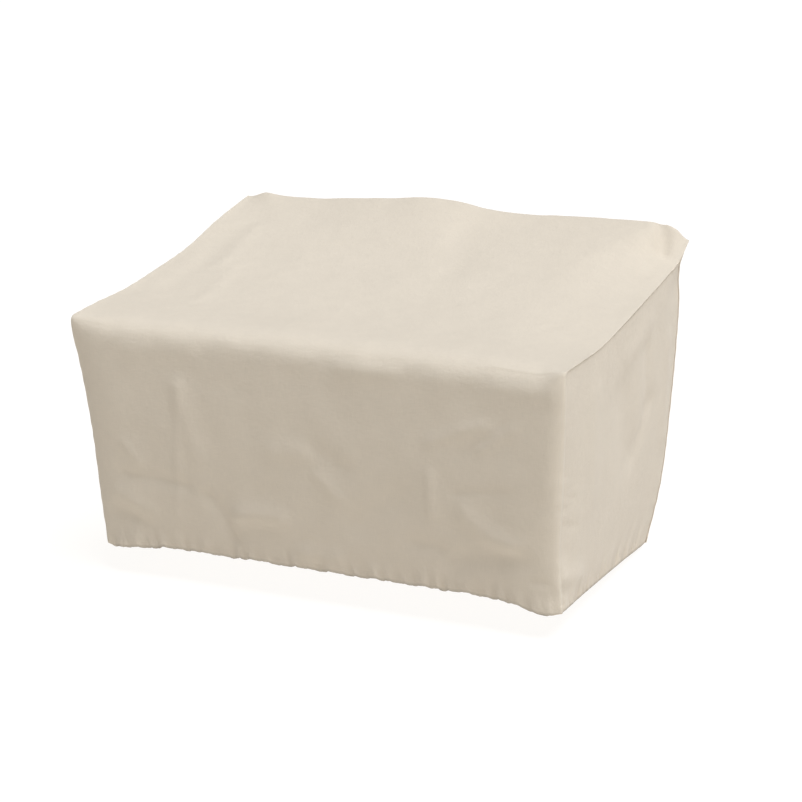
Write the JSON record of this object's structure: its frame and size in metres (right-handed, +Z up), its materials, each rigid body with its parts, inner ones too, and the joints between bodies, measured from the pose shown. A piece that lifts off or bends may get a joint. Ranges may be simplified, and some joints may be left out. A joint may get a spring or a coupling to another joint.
{
  "type": "outdoor sofa cover",
  "caption": "Fitted fabric cover for a two-seat outdoor sofa: a hollow shell with a high back ridge, a top sloping down to the front edge, drawn-in corners and an elastic gathered hem.",
  "frame": {"origin": "on the underside of the cloth at the middle of the back ridge, where the furniture under the cover carries it", "axes": "+X along the cover, to the right seen from its front; +Y towards its back; +Z up. The ground lies at z = -0.901"},
  "size_m": [1.3823, 0.955, 0.8906],
  "materials": {
    "cover_cloth": "matt cream woven outdoor cloth, softly creased, with sewn seams and an elastic gathered hem"
  },
  "bodies": {
    "root": {"centre_panel": "cover_cloth", "side_panel_left": "cover_cloth", "side_panel_right": "cover_cloth"}
  },
  "joints": []
}
